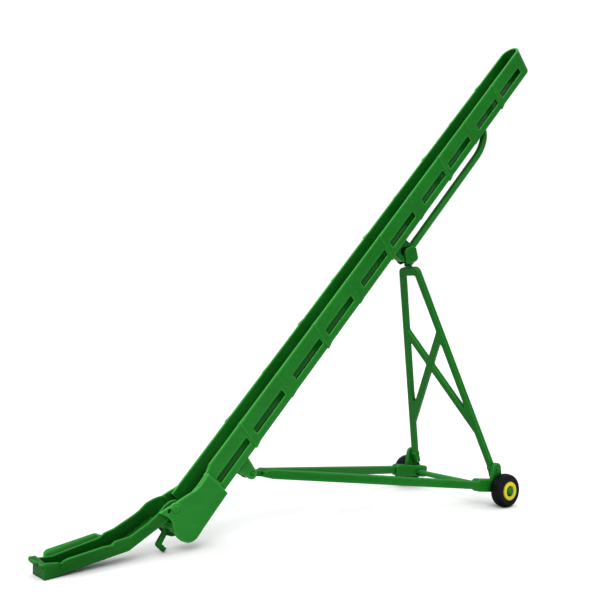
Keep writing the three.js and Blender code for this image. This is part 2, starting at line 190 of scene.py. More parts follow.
def pin(radius, low, high, x=0, z=0, edge=0.15, dome=0.0, steps=40):
    """A round pin across the object, with rounded rims and, where asked for, slightly domed ends."""
    half = []
    for k in range(4):
        angle = k / 3 * pi / 2
        half.append((radius - edge * (1 - sin(angle)), edge * (1 - cos(angle))))
    if dome:
        half = [(radius * 0.35, -dome), (radius * 0.7, -dome * 0.6)] + half
    profile = [(r, low + at) for r, at in half] + [(r, high - at) for r, at in reversed(half)]
    solid = lathe(profile, steps=steps)
    solid.data.transform(Matrix.Translation((x, 0, z)))
    return solid


def tube(path, radius, steps=28, tip=0.5, blunt=0.15):
    """A round rod in the X-Z plane along a path, with both ends rounded."""
    start_dir = (path[0] - path[1]).normalized()
    end_dir = (path[-1] - path[-2]).normalized()
    turns = [k / 5 * pi / 2 for k in range(5)]
    stations = [(path[0] + start_dir * (tip * cos(a)), radius * max(blunt, sin(a))) for a in turns]
    stations += [(p, radius) for p in path]
    stations += [(path[-1] + end_dir * (tip * cos(a)), radius * max(blunt, sin(a))) for a in reversed(turns)]
    loops = []
    for index, (centre, size) in enumerate(stations):
        ahead = stations[min(index + 1, len(stations) - 1)][0]
        behind = stations[max(index - 1, 0)][0]
        along = (ahead - behind).normalized()
        normal = Vector((-along.z, 0, along.x))
        loops.append([
            centre + normal * (size * cos(angle)) + Vector((0, size * sin(angle), 0))
            for angle in (2 * pi * k / steps for k in range(steps))
        ])
    return loft(loops)


def evaluated(solid):
    graph = bpy.context.evaluated_depsgraph_get()
    return bpy.data.meshes.new_from_object(solid.evaluated_get(graph))


def combine(solid, others, operation):
    """Joins or cuts the other solids, one after another, and removes them."""
    for other in others:
        step = solid.modifiers.new("boolean", "BOOLEAN")
        step.operation = operation
        step.solver = "MANIFOLD"
        step.object = other
    mesh = evaluated(solid)
    for other in others:
        bpy.data.objects.remove(other)
    solid.modifiers.clear()
    solid.data = mesh
    return solid


def fuse(first, *others):
    return combine(first, others, "UNION")


def cut(solid, *tools):
    return combine(solid, tools, "DIFFERENCE")


# ---------------------------------------------------------------- places

def axes_at(origin, angle=0.0):
    """Takes millimetres in a part's own axes to metres in the row frame."""
    return Matrix.Scale(MM, 4) @ Matrix.Translation(origin) @ Matrix.Rotation(angle, 4, "Y")


TROUGH_TILT = radians(45.515)
pivot = joint_at["hopper_fold"]
base_hinge = joint_at["base_fold"]
leg_hinge = joint_at["leg_fold"]
axle = joint_at["left_wheel_spin"]
trough_foot = pivot + Vector((6.31, 0, 5.46))
base_tilt = atan2(base_hinge.z - axle.z - 0.3, axle.x - base_hinge.x)

in_trough = axes_at(trough_foot, -TROUGH_TILT)
in_hopper = axes_at(pivot)
in_base = axes_at(base_hinge, base_tilt)


def local(matrix, point):
    """A point of the row frame, in millimetres, in a part's own axes as (x, z)."""
    found = matrix.inverted() @ (Vector(point) * MM)
    return found.x, found.z


TROUGH_LENGTH = 182.0
TROUGH_HALF = 3.4
TROUGH_WALL = 0.75
TROUGH_FLOOR = 1.1
TROUGH_DEPTH = 8.45
HEAD_SLANT = 0.8
SLOT_PITCH = 35.3
SLOT_START = 4.57
SLOT_LENGTH = 13.36
SLOT_SPACING = 16.48
SLOT_TOP = 4.2
SLOT_HEIGHT = 1.9
SLOT_PAIRS = 5
CATCH_ALONG = 96.5
RAIL_DEPTH = 13.5
RAIL_RADIUS = 1.15
CATCH_HALF = 1.45

rail_point = Vector((
    trough_foot.x + CATCH_ALONG * cos(TROUGH_TILT) + RAIL_DEPTH * sin(TROUGH_TILT),
    0,
    trough_foot.z + CATCH_ALONG * sin(TROUGH_TILT) - RAIL_DEPTH * cos(TROUGH_TILT),
))
leg_lean = atan2(rail_point.x - leg_hinge.x, rail_point.z - leg_hinge.z)
leg_reach = hypot(rail_point.x - leg_hinge.x, rail_point.z - leg_hinge.z)
in_legs = axes_at(leg_hinge, leg_lean)


# ---------------------------------------------------------------- materials

class Nodes:
    """A short way to write a node tree."""

    def __init__(self, tree):
        self.tree = tree

    def add(self, kind, inputs=None, **settings):
        node = self.tree.nodes.new(kind)
        for key, value in settings.items():
            setattr(node, key, value)
        for key, value in (inputs or {}).items():
            if isinstance(value, bpy.types.NodeSocket):
                self.tree.links.new(value, node.inputs[key])
            else:
                node.inputs[key].default_value = value
        return node

    def math(self, operation, a, b):
        return self.add("ShaderNodeMath", {0: a, 1: b}, operation=operation).outputs[0]

    def times(self, a, b):
        return self.math("MULTIPLY", a, b)

    def spread(self, value, low, high, to_low, to_high):
        return self.add("ShaderNodeMapRange", {
            "Value": value, "From Min": low, "From Max": high, "To Min": to_low, "To Max": to_high,
        }).outputs[0]

    def mix(self, factor, a, b):
        return self.add("ShaderNodeMix", {0: factor, 6: a, 7: b}, data_type="RGBA").outputs[2]

    def noise(self, place, scale, detail, roughness=0.5):
        return self.add("ShaderNodeTexNoise", {
            "Vector": place, "Scale": scale, "Detail": detail, "Roughness": roughness,
        }).outputs[0]

    def bump(self, distance, height, normal):
        return self.add("ShaderNodeBump", {
            "Strength": 0.35, "Distance": distance, "Height": height, "Normal": normal,
        }).outputs[0]

    def up(self, vector):
        return self.add("ShaderNodeSeparateXYZ", {0: vector}).outputs["Z"]


OBJECT_HEIGHT = 0.147      # metres
PAINTED_LIGHT_BELOW = 0.06          # metres: below this the plastic is painted slightly paler, painted light for the brighter lit foot
RECESS_REACH = 0.010       # metres: how near other surfaces darken a recess
RECESS_PAINTED_SHADE = 0.9
EDGE_REACH = 0.0007        # metres: how far from an edge the pale wear and painted highlight reach
EDGE_SOFTNESS = 0.00022    # metres
STREAK_DEPTH = 0.05        # millimetres
DARKEST = (0.0, 0.0, 0.0, 1.0)


def moulded_plastic(name, colour, deep, pale, roughness=0.38, grain=0.012, edge=0.25, specular=0.22):
    """Moulded plastic: slow colour drift, flow streaks, pale edges that are partly wear and partly a painted
    highlight, painted shade in recesses, painted light and shade with height, uneven gloss and fine grain.
    """
    material = bpy.data.materials.new(name)
    material.use_nodes = True
    tree = material.node_tree
    tree.nodes.clear()
    n = Nodes(tree)
    place = n.add("ShaderNodeTexCoord").outputs["Object"]
    # the streaks run along the trough, the way the plastic flowed
    stretched = n.add("ShaderNodeMapping", {
        "Vector": place, "Rotation": (0.0, TROUGH_TILT, 0.0), "Scale": (0.15, 1.0, 1.0),
    }).outputs[0]
    drift = n.noise(place, 55.0, 3.0, 0.55)
    streak = n.noise(stretched, 900.0, 2.0)
    speck = n.noise(place, 2600.0, 4.0, 0.6)
    base = n.mix(n.spread(drift, 0.3, 0.7, 0.0, 1.0), deep, colour)
    base = n.mix(n.spread(streak, 0.35, 0.75, 0.0, 0.05), base, pale)
    base = n.mix(n.spread(speck, 0.55, 0.8, 0.0, 0.14), base, deep)
    # painted light and shade: the colour turns deeper towards the top and paler near the foot, as the light
    # falls off up the trough
    height = n.up(place)
    base = n.mix(n.spread(height, 0.0, OBJECT_HEIGHT, 0.0, 0.5), base, deep)
    base = n.mix(n.spread(height, 0.0, PAINTED_LIGHT_BELOW, 0.05, 0.0), base, pale)
    # painted shade in the recesses: where other surfaces are near, the colour turns dark
    open_air = n.add("ShaderNodeAmbientOcclusion", {"Distance": RECESS_REACH}, samples=5).outputs["AO"]
    recess = n.spread(open_air, 0.16, 0.54, RECESS_PAINTED_SHADE, 0.0)
    base = n.mix(recess, base, n.mix(0.93, deep, DARKEST))
    # pale edges, partly wear and partly a painted highlight: strongest on open edges that face upwards
    within = n.add(
        "ShaderNodeAmbientOcclusion", {"Distance": EDGE_REACH}, samples=5, inside=True).outputs["AO"]
    wear_and_highlight = n.times(n.spread(within, 0.97, 0.72, 0.0, edge), n.spread(speck, 0.3, 0.6, 0.7, 1.0))
    upward = n.up(n.add("ShaderNodeTexCoord").outputs["Normal"])
    wear_and_highlight = n.times(wear_and_highlight, n.spread(upward, -0.1, 0.45, 0.1, 1.0))
    wear_and_highlight = n.times(wear_and_highlight, n.spread(open_air, 0.4, 0.7, 0.0, 1.0))
    base = n.mix(wear_and_highlight, base, pale)
    uneven = n.math("ADD", drift, n.times(speck, 0.6))
    rough = n.spread(uneven, 0.5, 1.2, roughness - 0.07, roughness + 0.1)
    soft = n.add("ShaderNodeBevel", {"Radius": EDGE_SOFTNESS}, samples=4).outputs[0]
    fine = n.bump(grain * MM, speck, soft)
    shader = n.add("ShaderNodeBsdfPrincipled", {
        "Base Color": base, "Roughness": rough, "Normal": n.bump(STREAK_DEPTH * MM, streak, fine),
        "Specular IOR Level": n.spread(open_air, 0.25, 0.7, 0.15 * specular, specular),
    })
    output = n.add("ShaderNodeOutputMaterial")
    tree.links.new(shader.outputs[0], output.inputs["Surface"])
    return material


# each colour is given as usual, deep and pale
green = moulded_plastic(
    "green_moulded", (0.004, 0.150, 0.009, 1), (0.002, 0.104, 0.005, 1), (0.070, 0.480, 0.070, 1),
    edge=0.75, specular=0.13)
# painted shade: a darker copy of the same green for the parts that sit low, under the trough and near the
# wheels
deep_green_painted_shade = moulded_plastic(
    "green_deep_painted_shade", (0.004, 0.112, 0.007, 1), (0.002, 0.088, 0.005, 1), (0.050, 0.420, 0.055, 1),
    roughness=0.42, edge=0.5, specular=0.08)
# painted shade: a darker copy of the same green for the hopper, whose sides lie in shade
hopper_green_painted_shade = moulded_plastic(
    "green_hopper_painted_shade", (0.003, 0.084, 0.005, 1), (0.002, 0.062, 0.004, 1), (0.046, 0.400, 0.050, 1),
    roughness=0.42, edge=0.5, specular=0.08)
# painted shade: the slots' cut faces are coloured nearly black, as they lie in shadow
slot_painted_shade = moulded_plastic(
    "green_slot_painted_shade", (0.001, 0.034, 0.003, 1), (0.0006, 0.022, 0.002, 1), (0.003, 0.060, 0.006, 1),
    roughness=0.6, edge=0.0, specular=0.0)
black = moulded_plastic(
    "black_moulded", (0.003, 0.004, 0.006, 1), (0.002, 0.002, 0.003, 1), (0.020, 0.022, 0.026, 1),
    roughness=0.5, edge=0.1, specular=0.07)
yellow = moulded_plastic(
    "yellow_painted", (0.56, 0.51, 0.010, 1), (0.47, 0.41, 0.006, 1), (0.72, 0.68, 0.070, 1),
    roughness=0.33, specular=0.2)


# ---------------------------------------------------------------- finished pieces

def piece(name, solid, matrix, body, nodes, material, angle=34):
    """Places a solid, smooths its shading between sharp edges, and hands it to the frame."""
    mesh = solid.data
    mesh.name = name
    solid.name = name
    work = bmesh.new()
    work.from_mesh(mesh)
    bmesh.ops.remove_doubles(work, verts=work.verts, dist=2e-4)
    bmesh.ops.dissolve_degenerate(work, edges=work.edges, dist=1e-4)
    bmesh.ops.recalc_face_normals(work, faces=work.faces)
    work.to_mesh(mesh)
    work.free()
    mesh.transform(matrix)
    mesh.materials.clear()
    mesh.materials.append(material)
    mesh.shade_smooth()
    mesh.set_sharp_from_angle(angle=radians(angle))
    weighted = solid.modifiers.new("weighted", "WEIGHTED_NORMAL")
    weighted.keep_sharp = True
    weighted.weight = 80
    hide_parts(*nodes)
    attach(solid, body)
    return solid


# ---------------------------------------------------------------- trough

COLLAR_AFTER = 14.3     # from the start of a pair of slots
SEAM_AFTER = 31.6
COLLAR_PROUD = 0.27
SEAM_PROUD = 0.13
COLLAR_LENGTH = 2.6
COLLAR_RISE = 0.12
COLLAR_FLAT = 0.5
COLLAR_FADE = 2.1
HEAD_STEPS = 32

pair_starts = [SLOT_START + SLOT_PITCH * k for k in range(SLOT_PAIRS)]
slot_starts = [start + offset for start in pair_starts for offset in (0, SLOT_SPACING)]
collar_starts = [start + COLLAR_AFTER for start in pair_starts]
seam_starts = [start + SEAM_AFTER for start in pair_starts[:-1]]


def collar_height(along):
    """How far the collars stand proud here: a sharp lower edge that fades out towards the head."""
    height = 0.0
    for starts, proud in ((collar_starts, COLLAR_PROUD), (seam_starts, SEAM_PROUD)):
        for start in starts:
            if start <= along <= start + COLLAR_LENGTH:
                rise = min(1.0, (along - start) / COLLAR_RISE)
                fade = max(0.0, 1 - max(0.0, along - start - COLLAR_FLAT) / COLLAR_FADE)
                height = max(height, proud * rise * fade)
    return height


def headed_block(half, start, levels):
    """A block along the trough that ends in a half round at the head, built up from its levels.

    A level is (how far in, height, then how much of the collars is added outwards, downwards and upwards).
    """
    centre = TROUGH_LENGTH - TROUGH_HALF
    stations = [start]
    for at in sorted(collar_starts + seam_starts):
        stations += [at, at + COLLAR_RISE, at + COLLAR_FLAT, at + 1.2, at + 1.9, at + COLLAR_LENGTH]
    stations = [s for s in stations if s <= centre] + [centre]
    loops = []
    for into, z, proud, down, up in levels:
        slant = z * HEAD_SLANT / TROUGH_DEPTH
        sides = []
        for side in (-1, 1):
            row = []
            for along in stations:
                extra = collar_height(along)
                row.append(Vector((
                    along + slant, side * (half - into + extra * proud), z - extra * down + extra * up,
                )))
            sides.append(row)
        head = []
        for k in range(1, HEAD_STEPS):
            angle = -pi / 2 + pi * k / HEAD_STEPS
            radius = half - into
            head.append(Vector((centre + radius * cos(angle) + slant, radius * sin(angle), z)))
        loops.append(sides[0] + head + sides[1][::-1])
    return loft(loops)


def slot_cutter(start):
    """Cuts one slot through both walls, with slightly rounded rims on the outside."""
    loops = []
    rims = ((3.2, 0), (3.34, 0.06), (3.42, 0.16), (5, 0.16))
    for y, flare in [(-y, flare) for y, flare in reversed(rims)] + list(rims):
        corners = [
            (start - flare, -SLOT_TOP - SLOT_HEIGHT - flare),
            (start + SLOT_LENGTH + flare, -SLOT_TOP - SLOT_HEIGHT - flare),
            (start + SLOT_LENGTH + flare, -SLOT_TOP + flare),
            (start - flare, -SLOT_TOP + flare),
        ]
        loops.append([Vector((p.x, y, p.y)) for p in rounded(corners, 0.35 + flare, 4)])
    return loft(loops)


def trough_channel():
    bottom = -TROUGH_DEPTH
    floor = bottom + TROUGH_FLOOR
    outer = headed_block(TROUGH_HALF, -4.6, [
        (0.40, bottom, 1, 1, 0), (0.12, bottom + 0.12, 1, 1, 0), (0.0, bottom + 0.4, 1, 1, 0),
        (0.0, -0.22, 1, 0, 0.5), (0.05, -0.08, 1, 0, 0.5), (0.18, 0.0, 1, 0, 0.5),
    ])
    inner = headed_block(TROUGH_HALF - TROUGH_WALL, -6.6, [
        (0.45, floor, 0, 0, 0), (0.14, floor + 0.14, 0, 0, 0), (0.0, floor + 0.45, 0, 0, 0),
        (0.0, -0.22, 0, 0, 0.5), (-0.05, -0.08, 0, 0, 0.5), (-0.18, 0.0, 0, 0, 0.5), (-0.18, 1.5, 0, 0, 0),
    ])
    boot_floor = plate(
        rounded([(-11, -3.3), (-3.4, -3.3), (-3.4, 3.3), (-11, 3.3)], 0.5), bottom, floor, "xy")
    # the near wall is cut down at the boot, beside the cheek
    near_wall_cut = plate(rounded([
        (-8, -0.9), (-1.6, -0.95, 2), (0.1, -1.15, 2), (3.7, -0.95, 1.5), (6.4, 0.0, 2), (6.4, 3), (-8, 3),
    ], 0.2), -6, -1, bevel=0.02)
    channel = fuse(cut(outer, inner), boot_floor)
    return cut(channel, near_wall_cut, *[slot_cutter(start) for start in slot_starts])


SLOT_MARGIN = 0.05


def shade_slots(channel):
    """Gives the cut faces of the slots their own darker material, painted shade as they lie in shadow."""
    channel.data.materials.append(slot_painted_shade)
    back = in_trough.inverted()
    for face in channel.data.polygons:
        centre = back @ face.center
        normal = (back.to_3x3() @ face.normal).normalized()
        in_wall = TROUGH_HALF - TROUGH_WALL < abs(centre.y) < TROUGH_HALF
        in_height = -SLOT_TOP - SLOT_HEIGHT - SLOT_MARGIN < centre.z < -SLOT_TOP + SLOT_MARGIN
        in_length = any(
            start - SLOT_MARGIN < centre.x < start + SLOT_LENGTH + SLOT_MARGIN for start in slot_starts)
        if in_wall and in_height and in_length and abs(normal.y) < 0.3:
            face.material_index = 1


shade_slots(piece(
    "trough_channel_moulding", trough_channel(), in_trough, "trough", ["trough_channel"], green))

pivot_x, pivot_z = local(in_trough, pivot)
relief_x, relief_z = local(in_trough, pivot + Vector((-1.85, 0, -0.2)))

cheek_corners = [
    (3.9, -0.86, 0.15), (0.1, -1.1, 2), (-1.4, -0.8, 2), (-4.4, 0.6, 2), (-7, 1.6, 1.5), (-9.9, 2.9, 1),
    (-11.9, 3.7, 0.25), (-11.1, 1.2, 0.4), (-11.1, -0.8, 0.5), (-12.9, -3.3, 1), (-13.1, -5.2, 1.5),
    (-12.9, -6.6, 1.5), (-12.2, -8.2, 1.5), (-11.3, -9, 1.5), (-10, -9.5, 1.5), (-6.1, -9.3, 1),
    (3.9, -9.05, 0.2),
]

for side, sign in SIDES:
    plate_range = sorted((sign * 3.55, sign * 4.3))
    filler_range = sorted((sign * 3.3, sign * 3.7))
    cheek = plate(rounded(cheek_corners, 0.3), *plate_range, bevel=0.16)
    filler = plate(rounded([(-4.3, -1.4), (3.6, -1.3), (3.6, -8.3), (-4.3, -8.3)], 0.2), *filler_range)
    boss = plate(ring(1.55, (pivot_x, pivot_z)), *sorted((sign * 3.6, sign * 4.42)), bevel=0.1)
    bore = plate(ring(1.22, (pivot_x, pivot_z), 32), *sorted((sign * 3.1, sign * 5)), bevel=0.02)
    notch = plate(ring(0.52, (relief_x, relief_z), 20), *sorted((sign * 3.1, sign * 5)), bevel=0.02)
    cheek = cut(fuse(cheek, filler, boss), bore, notch)
    piece(f"{side}_cheek_moulding", cheek, in_trough, "trough", [f"{side}_cheek"], green)

bar = plate(rounded([(-12.6, -4.2), (-10.9, -4.2), (-10.9, -2.3), (-12.6, -2.3)], 0.5), -3.58, 3.58)
piece("cheek_cross_bar_moulding", bar, in_trough, "trough", ["cheek_cross_bar"], green)

hook = plate(rounded([
    (-12.0, -2.4, 0.2), (-17.3, -3.3, 0.75), (-17.3, -6.4, 0.35), (-16, -6.4, 0.35), (-16, -4.5, 0.25),
    (-12.0, -3.75, 0.2),
], 0.3), -0.6, 0.6, bevel=0.3, segments=4)
piece("tow_hitch_moulding", hook, in_trough, "trough", ["tow_hitch"], deep_green_painted_shade)

lug_x, lug_z = local(in_trough, base_hinge)
for side, sign in SIDES:
    outline = [Vector((lug_x - 2.7, -TROUGH_DEPTH + 0.2)), Vector((lug_x - 1.56, lug_z + 0.5))]
    outline += [Vector((lug_x + 1.5 * cos(a), lug_z + 1.5 * sin(a)))
                for a in (pi + pi * k / 16 for k in range(17))]
    outline += [Vector((lug_x + 1.56, lug_z + 0.5)), Vector((lug_x + 2.5, -TROUGH_DEPTH + 0.2))]
    ear = plate(outline, *sorted((sign * 1.0, sign * 1.9)), bevel=0.14,
                holes=[ring(0.65, (lug_x, lug_z), 28)])
    piece(f"{side}_hinge_lug_moulding", ear, in_trough, "trough", [f"{side}_hinge_lug"], green)

hinge_pin = pin(0.6, -2.05, 2.05, lug_x, lug_z, edge=0.12)
piece("base_hinge_pin_moulding", hinge_pin, in_trough, "trough", ["base_hinge_pin"], deep_green_painted_shade)

catch = plate(
    rounded([
        (CATCH_ALONG - 4.7, -TROUGH_DEPTH + 0.2, 0.1), (CATCH_ALONG - 3.6, -12.9, 0.9),
        (CATCH_ALONG - 2.4, -14.6, 0.9), (CATCH_ALONG + 1.4, -14.6, 1.0), (CATCH_ALONG + 2.7, -12, 1.0),
        (CATCH_ALONG + 1.9, -TROUGH_DEPTH + 0.2, 0.1),
    ], 0.3),
    -CATCH_HALF, CATCH_HALF, bevel=0.3, segments=4,
    holes=[ring(1.1, (CATCH_ALONG - 1, -11.3), 32, 1.27)],
)
piece("rail_catch_moulding", catch, in_trough, "trough", ["rail_catch"], deep_green_painted_shade)


RAIL_BEND_AT = 141.5
RAIL_BEND_LENGTH = 9


def rail_path():
    points = [Vector((x, 0, -RAIL_DEPTH)) for x in (97.4, 100, 108, 116, 124, 132, 138)]
    rise = RAIL_DEPTH - TROUGH_DEPTH - 0.3
    for k in range(19):
        turn = k / 18 * pi / 2
        points.append(Vector((
            RAIL_BEND_AT + RAIL_BEND_LENGTH * sin(turn), 0, -RAIL_DEPTH + rise * (1 - cos(turn)),
        )))
    return points


piece("lifting_rail_moulding", tube(rail_path(), RAIL_RADIUS), in_trough, "trough", ["lifting_rail"], green)


# ---------------------------------------------------------------- hopper

HOPPER_HALF = 3.35
HOPPER_WALL = 0.75
TIP_X, TIP_Z = -33.64, -11.47
LIP_ROLL = radians(6.0)
LIP_HINGE_Y, LIP_HINGE_Z = 3.3, -8.5
LIP_LIFT = 0.95


def hopper_side(sign):
    """A side of the tray with its arm. The moulding is slightly twisted, so the left side is the higher."""
    if sign > 0:
        top = [
            (-2.3, 1.6, 0.6), (-4.2, 0.9, 0.8), (-6.2, -0.7, 1.0), (-8.0, -1.7, 0.8),
            (-10.2, -2.7, 0.8), (-13.2, -4.1, 0.8), (-15.6, -4.7, 0.5), (-17.2, -5.7, 0.5),
            (-29.3, -8.0, 0.4), (-30.2, -7.9, 0.4), (TIP_X, -7.8, 0.2),
        ]
    else:
        top = [
            (-2.4, 1.1, 0.6), (-4.3, -0.75, 0.8), (-7.4, -2.75, 0.8), (-12.0, -5.05, 0.6),
            (-15.9, -5.5, 0.5), (-17.4, -6.5, 0.5), (-28.9, -8.7, 0.4), (-29.7, -8.2, 0.4),
            (-30.4, -7.95, 0.6), (TIP_X, -7.6, 0.2),
        ]
    deeper = 0.55 if sign > 0 else 0.0
    corners = [
        (TIP_X, TIP_Z, 0.15), (-12.3, -8.4, 0.4), (-4.7, -4.4 - deeper / 2, 1.0), (-1.9, -3.1 - deeper, 0.6),
        (-0.65, -2.0, 0.4), (1.0, -1.9, 1.6), (2.1, -0.9, 1.6), (2.1, 0.9, 1.6), (0.9, 2.1, 1.6),
        (-0.9, 1.95, 1.0),
    ] + top
    span = sorted((sign * (HOPPER_HALF - HOPPER_WALL), sign * HOPPER_HALF))
    return plate(rounded(corners, 0.3), *span, bevel=0.14)


# from the tip to the boot: where the board runs, the heights of its foot and its top at both ends, how far
# it leans out, the length over which it turns in at the boot, and how far it reaches down outside
WINGS = {
    1: {"run": (-30.9, -15.9), "feet": (-8.3, -6.2), "tops": (-7.1, -4.8),
        "reach": 2.1, "blend": 1.2, "drop": 0.9},
    -1: {"run": (-29.9, -16.2), "feet": (-8.4, -6.7), "tops": (-7.25, -5.45),
         "reach": 1.0, "blend": 3.0, "drop": 1.5},
}
WING_STEPS = 30
WING_END = 2.4


def between(ends, share):
    return ends[0] + (ends[1] - ends[0]) * share


def wing(sign):
    """A board that leans outwards from the tray's top edge, flush below, with rounded ends."""
    form = WINGS[sign]
    first, last = form["run"]
    loops = []
    for k in range(WING_STEPS + 1):
        s = k / WING_STEPS
        x = between(form["run"], s)
        foot_z = between(form["feet"], s)
        top_z = between(form["tops"], s)
        from_end = 1 - min(1.0, (x - first) / WING_END)
        front = min(1.0, sqrt(max(0.0, 1 - from_end ** 2)) + 0.08)
        turn_in = min(1.0, max(0.0, (last - x) / form["blend"]))
        height = (top_z - foot_z) * front * (0.55 + 0.45 * turn_in)
        lean = form["reach"] * front * (0.05 + 0.95 * sin(turn_in * pi / 2))
        y0 = HOPPER_HALF - 0.6
        section = [
            (y0, foot_z - 0.25), (HOPPER_HALF - 0.04, foot_z - form["drop"] - 0.3 * s),
            (y0 + 0.74 + lean, foot_z + height - 0.3), (y0 + 0.62 + lean, foot_z + height - 0.06),
            (y0 + 0.34 + lean, foot_z + height), (y0 + 0.06 + lean, foot_z + height - 0.14),
        ]
        loops.append([Vector((x, sign * y, z)) for y, z in section])
    return loft(loops)


def hopper_moulding():
    inner = HOPPER_HALF - HOPPER_WALL + 0.3
    floor = plate(rounded([
        (TIP_X + 0.1, TIP_Z), (-12.3, -8.4, 0.5), (-4.7, -4.4, 0.5), (-3, -3.55), (-3.3, -2.7),
        (-5, -3.55, 0.5), (-12.5, -7.6, 0.5), (TIP_X + 0.1, TIP_Z + 0.8),
    ], 0.1), -inner, inner, bevel=0.04)
    wall = plate(rounded([
        (TIP_X, TIP_Z), (TIP_X + 0.85, TIP_Z), (TIP_X + 0.85, -8.0), (TIP_X, -8.0),
    ], 0.12), -inner, inner, bevel=0.05)
    lip = plate(rounded([
        (TIP_X + 0.75, -3.3, 0.2), (TIP_X + 0.75, 3.3, 0.2), (TIP_X - 0.35, 3.3, 0.3),
        (TIP_X - 1.3, 3.0, 0.7), (TIP_X - 1.4, 1.0, 0.8), (TIP_X - 1.1, -0.5, 0.5),
        (TIP_X - 0.5, -0.9, 0.4), (TIP_X - 0.5, -1.7, 0.4), (TIP_X - 0.85, -2.0, 0.5),
        (TIP_X - 0.7, -3.0, 0.5), (TIP_X - 0.1, -3.35, 0.3),
    ], 0.3), -8.95, -8.15, "xy", bevel=0.25)
    far_ear = plate(rounded([
        (TIP_X - 1.3, -8.7), (TIP_X - 0.6, -8.7), (TIP_X - 0.6, -7.85), (TIP_X - 1.3, -7.85),
    ], 0.3), 1.9, 2.8, bevel=0.2)
    # the lip and its ear are rolled about the lip's far end and lifted, as the tray is slightly twisted
    roll = (Matrix.Translation((0, LIP_HINGE_Y, LIP_HINGE_Z)) @ Matrix.Rotation(LIP_ROLL, 4, "X")
            @ Matrix.Translation((0, -LIP_HINGE_Y, -LIP_HINGE_Z)))
    for edge_piece in (lip, far_ear):
        edge_piece.data.transform(roll)
        edge_piece.data.transform(Matrix.Translation((0, 0, LIP_LIFT)))
    return fuse(hopper_side(1), hopper_side(-1), floor, wall, lip, far_ear, wing(1), wing(-1))


piece("hopper_moulding", hopper_moulding(), in_hopper, "hopper",
      ["hopper_tray", "hopper_tip_plate", "left_wing_board", "right_wing_board"], hopper_green_painted_shade)

for side, sign in SIDES:
    stub = pin(1.15, *sorted((sign * 3.1, sign * 4.46)), edge=0.2, dome=0.06)
    piece(f"{side}_hopper_pin_moulding", stub, in_hopper, "hopper", [f"{side}_hopper_pin"], green)


# ---------------------------------------------------------------- base frame

def bar_section(x, y_low, y_high, half, round_by=0.35):
    corners = [(y_low, -half), (y_high, -half), (y_high, half), (y_low, half)]
    return [Vector((x, p.x, p.y)) for p in rounded(corners, round_by, 4)]


BLOCK_RISE = {1: 0.0, -1: 0.6}    # the near wheel block sits higher than the far one
BLOCK_AT = 72
RAIL_START = 6.75
RAIL_SPREAD = 0.2496              # how far apart the rails run, for each millimetre along
RAIL_WIDTH = 1.9
RAIL_OUTERMOST = 18.45


def base_rail(sign):
    loops = []
    for x, half in ((5.2, 1.0), (7.5, 1.28), (20, 1.27), (45, 1.24), (71.8, 1.2)):
        inner = 0.4 + (x - RAIL_START) * RAIL_SPREAD
        span = sorted((sign * inner, sign * min(RAIL_OUTERMOST, inner + RAIL_WIDTH)))
        rise = BLOCK_RISE[sign] * x / BLOCK_AT
        loops.append([p + Vector((0, 0, rise)) for p in bar_section(x, *span, half)])
    return loft(loops)


def base_frame_moulding():
    eye = pin(1.3, -0.85, 0.85, edge=0.15)
    neck = plate(rounded([(0, -0.8), (5.4, -0.8), (5.4, 0.8), (0, 0.8)], 0.1), -0.85, 0.85, bevel=0.25)
    head = plate(rounded([
        (3.7, -0.75, 1.0), (4.3, -0.85, 1.5), (7.3, -1.28, 0.4), (7.6, 1.28, 0.4), (5.0, 1.28, 0.45),
        (4.15, 0.75, 0.4), (3.7, 0.7, 0.2),
    ], 0.3), -2.3, 2.3, bevel=0.3)
    parts = [neck, head, base_rail(1), base_rail(-1)]
    lug_at = local(in_base, leg_hinge)
    axle_at = local(in_base, axle)
    for side, sign in SIDES:
        up = BLOCK_RISE[sign]
        block = plate(rounded([
            (71, up - 1.2, 0.6), (72.1, up - 1.85, 0.6), (84.5, up - 1.85, 0.5), (85.1, up - 1.2, 0.4),
            (85.1, up + 1.4, 0.4), (84.6, up + 1.85, 0.4), (71.9, up + 1.85, 0.5), (71, up + 1.2, 0.5),
        ], 0.3), *sorted((sign * 15.7, sign * 18.5)), bevel=0.25, holes=[ring(0.9, axle_at, 32)])
        ear = [Vector((lug_at[0] - 2.1, 1.6)), Vector((lug_at[0] - 1.8, lug_at[1] - 0.2))]
        ear += [Vector((lug_at[0] + 1.75 * cos(a), lug_at[1] + 1.75 * sin(a)))
                for a in (pi - pi * k / 18 for k in range(19))]
        ear += [Vector((lug_at[0] + 1.9, lug_at[1] - 0.4)), Vector((lug_at[0] + 2.9, 1.6))]
        lug = plate(ear, *sorted((sign * 17.4, sign * 18.6)), bevel=0.22, holes=[ring(0.65, lug_at, 28)])
        parts += [block, lug]
    body = fuse(eye, *parts)
    return cut(body, plate(ring(0.7, (0, 0), 28), -4, 4, bevel=0.02))


piece("base_frame_moulding", base_frame_moulding(), in_base, "base_frame", [
    "base_tongue", "left_base_rail", "right_base_rail", "left_wheel_block", "right_wheel_block",
    "left_leg_lug", "right_leg_lug",
], deep_green_painted_shade)

axle_x, axle_z = local(in_base, axle)
pin_x, pin_z = local(in_base, leg_hinge)
WHEEL_MIDDLE_Y = 20.75
TYRE_HALF = 1.95
cap_inner = WHEEL_MIDDLE_Y + TYRE_HALF - 0.55
cap_profile = [(radius, cap_inner + out_by) for radius, out_by in (
    (0.4, 0), (1.25, 0), (1.27, 0.4), (1.22, 0.62), (1.08, 0.82), (0.8, 0.96), (0.45, 1.03), (0.15, 1.05),
)]
rod = pin(0.85, -cap_inner + 0.05, cap_inner - 0.05, axle_x, axle_z, edge=0.12)
piece("axle_rod_moulding", rod, in_base, "base_frame", ["axle_rod"], green)

